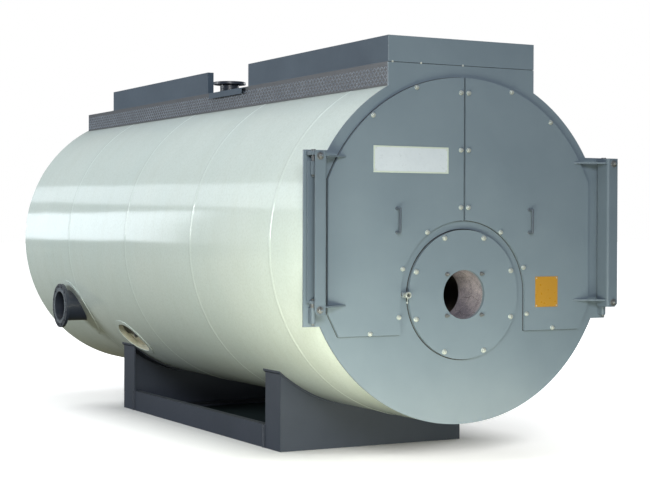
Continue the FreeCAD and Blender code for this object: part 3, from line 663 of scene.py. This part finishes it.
handle_steel = paint("handle_paint", srgb(74, 84, 97), srgb(82, 92, 105), srgb(64, 74, 86), 0.3, 0.1)
collar = lathe([(0, 0), (0.0115, 0), (0.011, 0.0018), (0.0088, 0.0036), (0.0068, 0.006), (0.0, 0.006)], 18)
for name in ("left", "right"):
    coat_nodes(handle_steel, f"{name}_door_handle")
    low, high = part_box(f"{name}_door_handle")
    feet = np.array([((low.x + high.x) / 2, high.y, z) for z in (low.z + 0.006, high.z - 0.006)])
    lay(f"{name}_handle_collars", [copies(collar, feet, -Y)], handle_steel, f"{name}_door")


# ---- Plates ----
# Two bare enamelled plates, white in a pale frame and yellow without, riveted to the doors.

def enamel(name, colour, worn):
    finish = Finish(name)
    scuff = finish.cloud(28.0, 4.0, 0.65)
    fade = finish.cloud(3.0, 3.0, 0.5)
    shade = finish.mix(scuff.between(0.5, 0.8) * 0.5, colour, worn)
    shade = finish.mix(fade.between(0.4, 0.7) * 0.3, shade, worn)
    return finish.done({"Base Color": shade, "Roughness": 0.3 + 0.2 * (scuff - 0.5),
                        "Normal": finish.raised(scuff, 0.0001)})


def oblong(low, high, inset, y):
    """The corners of an upright oblong, once round and back to the first, inset on all sides."""
    x0, x1, z0, z1 = low.x + inset, high.x - inset, low.z + inset, high.z - inset
    return np.array([(x0, y, z0), (x1, y, z0), (x1, y, z1), (x0, y, z1), (x0, y, z0)])


def framed(low, high, wide, proud):
    """A flat frame: four grids between an outer and an inner oblong, front, sides and back."""
    y = low.y
    rings = [oblong(low, high, 0.0, y), oblong(low, high, 0.0, y - proud * 0.6),
             oblong(low, high, wide * 0.2, y - proud), oblong(low, high, wide * 0.8, y - proud),
             oblong(low, high, wide, y - proud * 0.6), oblong(low, high, wide, y),
             oblong(low, high, 0.0, y)]
    return np.stack(rings)


rivet = lathe([(0, 0), (0.0048, 0), (0.0046, 0.001), (0.0034, 0.0022), (0.0016, 0.0028), (0, 0.003)], 14)
white_enamel = enamel("white_enamel", srgb(182, 192, 204), srgb(166, 177, 190))
pale_frame = enamel("pale_frame", srgb(176, 188, 182), srgb(160, 172, 168))
yellow_enamel = enamel("yellow_enamel", srgb(162, 122, 44), srgb(146, 110, 40))
coat_nodes(white_enamel, "left_nameplate")
coat_nodes(yellow_enamel, "right_nameplate")
for name, wide in (("left", 0.010), ("right", 0.0)):
    low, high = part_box(f"{name}_nameplate")
    if wide:
        lay(f"{name}_plate_frame", [framed(low, high, wide, 0.0018)], pale_frame, f"{name}_door",
            20)
    corners = oblong(low, high, 0.018 if wide else 0.010, low.y)[:4]
    lay(f"{name}_plate_rivets", [copies(rivet, corners, -Y)], zinc, f"{name}_door")


# ---- The hinges ----
# A folded channel is welded to each door by two gussets. It turns on two pins in lugs on the
# front plate, and long hexagon screws through its front flange set the door's height.

# The channels and lugs wear the front's paint made darker: painted shade for the channels' hollows.
channel_paint = paint("channel_paint", srgb(96, 110, 123), srgb(102, 116, 129), srgb(86, 100, 114),
                      0.5, 0.1, 0.25)
coat_nodes(channel_paint, "left_hinge_channel", "right_hinge_channel", "hinge_lugs")
SCREW_PROUD = 0.0293
SCREW_OUT = 1.165
SCREW_HEIGHTS = (0.570, -0.400)
for side, name in ((-1, "left"), (1, "right")):
    low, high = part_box(f"{name}_hinge_channel")
    flange = low.y - FACE + SCREW_PROUD
    places = np.array([spot(side * SCREW_OUT, flange, z) for z in SCREW_HEIGHTS])
    parts = screws(places, -Y, 0.030, 0.013, 0.024, 0.003, 8 + side)
    parts.append(copies(lifted(thread(0.009, 0.012, 0.0025), 0.016), places, -Y))
    lay(f"{name}_hinge_screws", parts, stud_metal, f"{name}_door")


# ---- The deck ----
# A walkway of almond-patterned tread plate along the top. Its edges are folded down to the
# jacket as skirts, and sheet parapets stand on it. The almonds are rolled into the plate.

def tread_finish(name, colour, dirt_colour):
    finish = Finish(name)
    dirt = finish.cloud(9.0, 5.0, 0.65)
    fine = finish.cloud(80.0, 3.0, 0.6)
    shade = finish.mix(dirt.between(0.35, 0.7), colour, dirt_colour)
    return finish.done({"Base Color": shade, "Roughness": 0.45 + 0.25 * (fine - 0.5),
                        "Normal": finish.raised(fine, 0.0002)})


tread_plate = tread_finish("tread_plate", srgb(28, 31, 39), srgb(38, 42, 51))
# The almonds are painted far lighter than the plate: a painted highlight on their ridges, with rubbed wear.
tread_wear_and_highlight = tread_finish("tread_wear_and_highlight", srgb(142, 153, 168), srgb(104, 114, 130))
coat_nodes(tread_plate, "deck_plate", "deck_skirts")
TREAD_PITCH = 0.0235


def almond(long, wide, tall):
    """A raised almond: half its width is wide times one less the square of the run along it,
    and its flat-topped ridge rises the same way."""
    run = np.array((-1.0, -0.55, 0.55, 1.0))
    half = wide / 2 * (1 - run ** 2)
    rise = tall * np.minimum(1.0, 1.6 * (1 - run ** 2))
    across = np.array((-1.0, -0.45, 0.45, 1.0, -1.0))
    up = np.array((-0.2, 1.0, 1.0, -0.2, -0.2))
    return np.stack([run[:, None] * long / 2 + 0 * across, half[:, None] * across, rise[:, None] * up], -1)


def strew(origin, first, second, out, long, high):
    """Almonds on a plate: a square grid over first by second, each turned 45 degrees one way
    or the other by the odd and even of its row and column."""
    i, j = np.meshgrid(np.arange(int(long / TREAD_PITCH)), np.arange(int(high / TREAD_PITCH)))
    i, j = i.ravel(), j.ravel()
    places = origin + ((i + 0.5) * TREAD_PITCH)[:, None] * first + ((j + 0.5) * TREAD_PITCH)[:, None] * second
    lean = np.where((i + j) % 2, -1.0, 1.0)[:, None]
    along = (first + lean * second) / math.sqrt(2)
    frames = np.stack([along, np.cross(out, along), np.broadcast_to(out, along.shape)], -1)
    return places, frames


def pressed(shape, places, frames):
    return np.einsum("nij,rcj->nrci", frames, shape) + places[:, None, None]


pip = almond(0.0315, 0.0075, 0.0017)
deck_low, deck_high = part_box("deck_plate")
skirt_low, skirt_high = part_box("deck_skirts")
for side, name in ((-1, "left"), (1, "right")):
    corner = np.array((side * skirt_high.x, skirt_low.y + 0.003, skirt_low.z + 0.012))
    places, frames = strew(corner, Y, Z, side * X, skirt_high.y - skirt_low.y - 0.006,
                           skirt_high.z - skirt_low.z - 0.012)
    lay(f"{name}_skirt_tread", [pressed(pip, places, frames)], tread_wear_and_highlight, "boiler", 60)
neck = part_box("top_nozzle")
neck_centre = np.array(((neck[0].x + neck[1].x) / 2, (neck[0].y + neck[1].y) / 2))
places, frames = strew(np.array((deck_low.x + 0.056, deck_low.y + 0.05, deck_high.z)), X, Y, Z,
                       deck_high.x - deck_low.x - 0.112, deck_high.y - deck_low.y - 0.06)
NECK_CLEAR = 0.115
open_deck = np.hypot(*(places[:, :2] - neck_centre).T) > NECK_CLEAR
places, frames = places[open_deck], frames[open_deck]
half = len(places) // 2
for name, part in (("front", slice(0, half)), ("rear", slice(half, None))):
    pips = pressed(pip, places[part], frames[part])
    lay(f"{name}_deck_tread", [pips], tread_wear_and_highlight, "boiler", 60)


# ---- Parapets ----
# Folded sheet set on edge, spot-welded along its foot. The front wears the front plate's paint; the sides and
# the step wear it made darker, as painted shade.

# The sides' and step's paint is the front's made darker: painted shade.
side_paint = paint("parapet_paint", srgb(70, 84, 99), srgb(78, 92, 107), srgb(60, 73, 88), 0.55, 0.1, 0.2)
coat_nodes(side_paint, "parapet_front_sides", "parapet_rear_sides", "deck_step")


# ---- The nozzles ----
# Pipe stubs with drilled flanges, in near-black paint. The side one leaves the jacket
# through a raised oval collar, and its joint face is machined and greased.

nozzle_paint = paint("nozzle_paint", srgb(50, 57, 69), srgb(58, 65, 77), srgb(40, 46, 57), 0.38, 0.2)
coat_nodes(nozzle_paint, "top_nozzle", "side_nozzle_pipe", "side_nozzle_flange")


def turned_face():
    """A machined joint face: fine rings about the bore, dulled by old grease."""
    finish = Finish("machined_face")
    flat = finish.node("ShaderNodeVectorMath", {"operation": "SUBTRACT"},
                       {0: finish.here(), 1: (0.0, float(side_centre[1]), float(side_centre[2]))})
    flat = finish.node("ShaderNodeVectorMath", {"operation": "MULTIPLY"}, {0: flat, 1: (0.0, 1.0, 1.0)})
    out = finish.node("ShaderNodeVectorMath", {"operation": "LENGTH"}, {0: flat}, "Value")
    rings = abs((out * 600.0) % 1.0 - 0.5)
    grease = finish.cloud(30.0, 4.0, 0.6)
    shade = finish.mix(grease.between(0.35, 0.65), srgb(76, 84, 94), srgb(106, 114, 122))
    return finish.done({"Base Color": shade, "Metallic": 0.3, "Roughness": 0.36 + 0.25 * (grease - 0.5),
                        "Normal": finish.raised(rings, 0.0004)})


side_low, side_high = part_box("side_nozzle_flange")
side_centre = np.array((side_low.x, (side_low.y + side_high.y) / 2, (side_low.z + side_high.z) / 2))
face_ring = lathe([(0.1302, -0.001), (0.1302, 0.0012), (0.1315, 0.0026), (0.1595, 0.0026),
                   (0.1608, 0.0012), (0.1608, -0.001), (0.1302, -0.001)], 64)
lay("side_nozzle_joint", [copies(face_ring, [side_centre], -X)], turned_face(), "boiler", 30)
hub = side_centre + (side_high.x - side_low.x + 0.001, 0, 0)
HUB_RADIUS = 0.1385
hub_weld = weld_arc(hub, HUB_RADIUS, 0, 2 * np.pi, 0.006, Y, Z)
lay("side_nozzle_weld", [hub_weld], nozzle_paint, "boiler")


# ---- The handhole ----
# An oval way through the jacket to a small cover on the shell, held by one stud and nut.

def recess_sheet():
    """The rim in the jacket's cream, and below it the same paint gone matt and dusty. The
    distance from the barrel's axis tells rim from recess."""
    finish = Finish("recess_sheet")
    across = finish.node("ShaderNodeVectorMath", {"operation": "SUBTRACT"},
                         {0: finish.here(), 1: (0.0, 0.0, AXIS)})
    across = finish.node("ShaderNodeVectorMath", {"operation": "MULTIPLY"}, {0: across, 1: (1.0, 0.0, 1.0)})
    out = finish.node("ShaderNodeVectorMath", {"operation": "LENGTH"}, {0: across}, "Value")
    blotch = finish.cloud(30.0, 4.0, 0.6)
    rim = out.between(SKIN_RADIUS - 0.003, SKIN_RADIUS - 0.001)
    dull = finish.mix(blotch.between(0.35, 0.65), srgb(196, 200, 184), srgb(220, 216, 200))
    shade = finish.mix(rim, dull, srgb(226, 239, 236))
    return finish.done({"Base Color": shade, "Roughness": 0.7 - 0.55 * rim,
                        "Normal": finish.raised(blotch, 0.0003)})


def cover_finish():
    """Pale primer on the cover, its upper half painted near black as a painted shadow under the jacket's
    edge.
    """
    finish = Finish("cover_primer_and_shadow")
    blotch = finish.cloud(26.0, 4.0, 0.65)
    height = finish.along("Z") + 0.045 * (blotch - 0.5)
    # The upper part of the cover is painted near black: a painted shadow cast by the jacket's edge.
    painted_shadow = height.between(cover_middle_z - 0.034, cover_middle_z - 0.022)
    shade = finish.mix(blotch.between(0.35, 0.7), srgb(206, 212, 190), srgb(214, 196, 172))
    shade = finish.mix(painted_shadow * 0.92, shade, srgb(30, 28, 26))
    return finish.done({"Base Color": shade, "Roughness": 0.6 + 0.2 * (blotch - 0.5),
                        "Normal": finish.raised(blotch, 0.0003)})


coat_nodes(recess_sheet(), "hatch_frame")
cover_low, cover_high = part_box("hatch_cover")
cover_middle_z = (cover_low.z + cover_high.z) / 2
coat_nodes(cover_finish(), "hatch_cover")
slope = math.radians(45)
outward = np.array((-math.cos(slope), 0, -math.sin(slope)))
hatch_centre = np.array((0, (cover_low.y + cover_high.y) / 2, AXIS))
COVER_TOP = 1.1585
nut_place = hatch_centre + COVER_TOP * outward
nut = [copies(washer(0.024, 0.003), [nut_place], outward),
       copies(lifted(hexagon(0.032, 0.014), 0.003), [nut_place], outward, 0.3),
       copies(lifted(thread(0.0128, 0.010, 0.0025), 0.016), [nut_place], outward)]
lay("hatch_nut", nut, stud_metal, "boiler")


# ---- The studio ----
# A pale floor that turns to plain white further off, a soft sky, a lamp by the camera, soft
# boxes overhead and to both sides, and two long windows that show in the jacket's gloss.

bpy.ops.mesh.primitive_plane_add(size=240)
floor = bpy.context.object
floor.name = "studio_floor"
ground = Finish("studio_floor")
seen = ground.node("ShaderNodeLightPath", {}, {})
beside = abs(ground.along("X")).between(0.75, 10.75) * 10.0
beyond = abs(ground.along("Y") - 1.43).between(1.5, 11.5) * 10.0
off = (beside ** 2.0 + beyond ** 2.0) ** 0.5
pale = ground.mix(ground.cloud(0.6), srgb(240, 240, 240), srgb(246, 246, 246))
# Inside the base's footprint the floor the camera sees is painted dark: a painted shadow under the boiler.
shown = ground.mix(off.between(0.0, 0.02), srgb(52, 62, 64), pale)
# The floor as bounced light sees it is painted dark near the base and warmer and brighter further off:
# painted shade under the barrel.
bounced = ground.mix(off.between(0.1, 1.4), srgb(36, 36, 34), srgb(126, 123, 102))
glow = (off.between(0.0, 0.6) * 0.42 + off.between(0.6, 6.0) * 0.58) * seen
floor.data.materials.append(ground.done({
    "Base Color": ground.mix(seen, bounced, shown), "Roughness": 0.9, "Specular IOR Level": 0.0,
    "Emission Color": ground.mix(glow, (0.0, 0.0, 0.0, 1.0), (1.0, 1.0, 1.0, 1.0)),
    "Emission Strength": 1.0}))
floor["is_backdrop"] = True

sky = bpy.data.worlds.new("studio_sky")
sky.use_nodes = True
bpy.context.scene.world = sky
sky_light = sky.node_tree.nodes["Background"]
sky_light.inputs["Color"].default_value = (0.93, 0.97, 1.0, 1)
sky_light.inputs["Strength"].default_value = 0.18
sky_white = sky.node_tree.nodes.new("ShaderNodeBackground")
sky_white.inputs["Color"].default_value = (1, 1, 1, 1)
sky_path = sky.node_tree.nodes.new("ShaderNodeLightPath")
sky_mix = sky.node_tree.nodes.new("ShaderNodeMixShader")
sky.node_tree.links.new(sky_path.outputs["Is Camera Ray"], sky_mix.inputs[0])
sky.node_tree.links.new(sky_light.outputs[0], sky_mix.inputs[1])
sky.node_tree.links.new(sky_white.outputs[0], sky_mix.inputs[2])
sky.node_tree.links.new(sky_mix.outputs[0], sky.node_tree.nodes["World Output"].inputs[0])


def lamp(name, place, aim, width, height, power, colour=(1, 1, 1)):
    data = bpy.data.lights.new(name, "AREA")
    data.shape = "RECTANGLE"
    data.size = width
    data.size_y = height
    data.energy = power
    data.color = colour
    made = bpy.data.objects.new(name, data)
    bpy.context.collection.objects.link(made)
    made.location = place
    made.rotation_euler = (Vector(aim) - Vector(place)).to_track_quat("-Z", "Y").to_euler()
    made.visible_camera = False
    return made


lamp("key", (-6.5, -13, 6.0), (0, 0, 1.5), 4, 3, 1200)
lamp("overhead", (0, 1, 8.5), (0, 1, 0), 9, 11, 400)
lamp("left_rear_box", (-12, 10, 4.0), (0, 3.5, 1.8), 6, 4, 900, (0.93, 0.97, 1))
lamp("right_fill", (11, 7, 4.0), (0, 3, 1.6), 5, 4, 380, (0.96, 0.98, 1))
lamp("low_board", (-1.9, -3.1, 0.25), (-0.1, -1.3, 0.6), 2.8, 0.6, 95, (1, 0.97, 0.76))
lamp("front_board", (0.2, -2.5, 0.12), (0.1, -1.3, 0.45), 2.6, 0.35, 20, (1, 0.98, 0.78))


def window(name, near, far, height, glow):
    """A long upright window at the left: its middle runs from near to far, and it faces the barrel."""
    near, far = Vector(near), Vector(far)
    along = (far - near).normalized()
    facing = Vector((1, 0, 0))
    upward = facing.cross(along)
    length = (far - near).length
    made = lamp(name, (0, 0, 0), (1, 0, 0), length, height, glow * math.pi * length * height, (0.85, 0.93, 1))
    made.matrix_world = Matrix((along, upward, -facing)).transposed().to_4x4()
    made.location = (near + far) / 2
    return made


window("upper_window", (-9, 15.0, 7.0), (-9, 46.0, 11.0), 3.6, 1.15)
window("lower_window", (-9, 19.5, 3.3), (-9, 34.0, 3.3), 4.0, 2.5)

lens = bpy.data.cameras.new("camera")
lens.sensor_width = 36
lens.lens = 85.47
lens.clip_end = 400
camera = bpy.data.objects.new("camera", lens)
bpy.context.collection.objects.link(camera)
bpy.context.scene.camera = camera
yaw, pitch, roll = math.radians(28.44), math.radians(-0.67), math.radians(0.17)
ahead = Vector((math.sin(yaw) * math.cos(pitch), math.cos(yaw) * math.cos(pitch), math.sin(pitch)))
right = ahead.cross(Vector((0, 0, 1))).normalized()
over = right.cross(ahead)
level = math.cos(roll) * right + math.sin(roll) * over
upright = -math.sin(roll) * right + math.cos(roll) * over
camera.matrix_world = Matrix((level, upright, -ahead)).transposed().to_4x4()
camera.location = (-5.753, -9.9915, 1.625)

bpy.context.scene.view_settings.view_transform = "Standard"

low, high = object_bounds()
